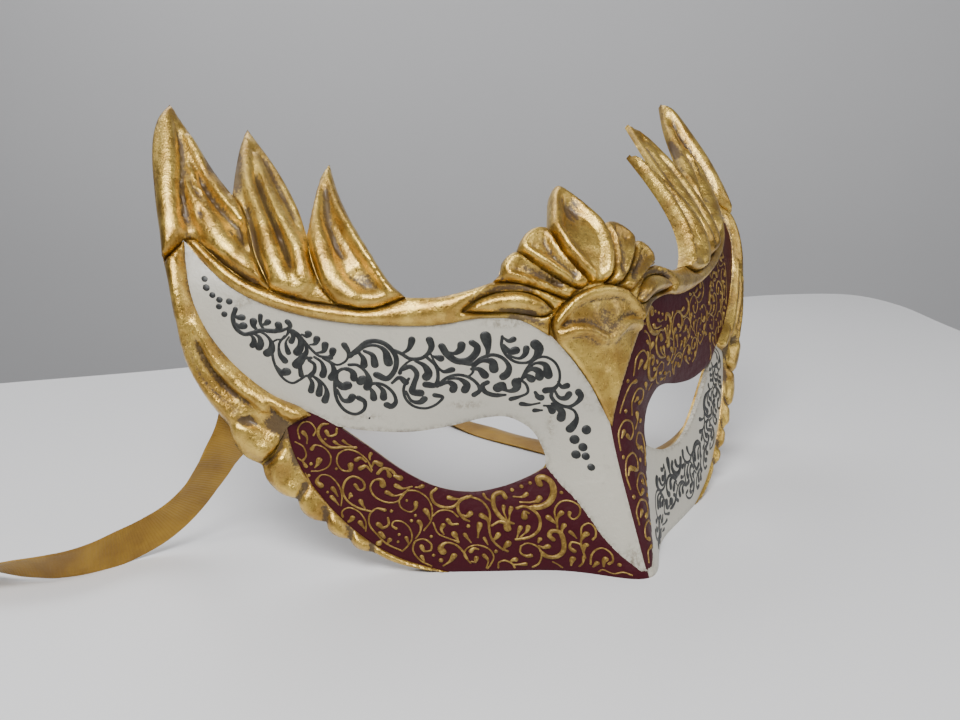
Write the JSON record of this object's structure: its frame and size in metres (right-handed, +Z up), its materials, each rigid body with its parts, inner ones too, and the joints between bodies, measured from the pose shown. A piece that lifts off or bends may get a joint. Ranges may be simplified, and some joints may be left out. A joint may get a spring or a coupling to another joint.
{
  "type": "venetian masquerade mask",
  "caption": "Papier-mache half mask with gilded flame and palmette relief, two eye openings and satin ribbon ties.",
  "frame": {"origin": "on the surface the mask stands on, under the middle of the mask's own length and depth, ribbons left out", "axes": "+Z up; -Y the way the mask faces; +X along the mask's length, towards the side on the right when it is looked at from the front"},
  "size_m": [0.3064, 0.1881, 0.1133],
  "materials": {
    "papier_mache": "matte gesso and paint, half off-white and half burgundy",
    "gilded_relief": "worn gold leaf over dark patina",
    "satin_ribbon": "satin"
  },
  "bodies": {
    "root": {"face_shell": "papier_mache", "crest_spear": "gilded_relief", "crest_boss": "gilded_relief", "crest_lobe_upper_left": "gilded_relief", "crest_lobe_upper_right": "gilded_relief", "crest_lobe_lower_left": "gilded_relief", "crest_lobe_lower_right": "gilded_relief", "flame_inner_left": "gilded_relief", "flame_inner_right": "gilded_relief", "flame_middle_left": "gilded_relief", "flame_middle_right": "gilded_relief", "flame_outer_left": "gilded_relief", "flame_outer_right": "gilded_relief", "forehead_rim_left": "gilded_relief", "forehead_rim_right": "gilded_relief", "brow_leaf_left": "gilded_relief", "brow_leaf_right": "gilded_relief", "temple_border_left": "gilded_relief", "temple_border_right": "gilded_relief", "cheek_border_left": "gilded_relief", "cheek_border_right": "gilded_relief", "ribbon_left": "satin_ribbon", "ribbon_right": "satin_ribbon", "ribbon_coil_left": "satin_ribbon", "ribbon_coil_right": "satin_ribbon", "ribbon_tab_left": "satin_ribbon", "ribbon_tab_right": "satin_ribbon"}
  },
  "joints": []
}
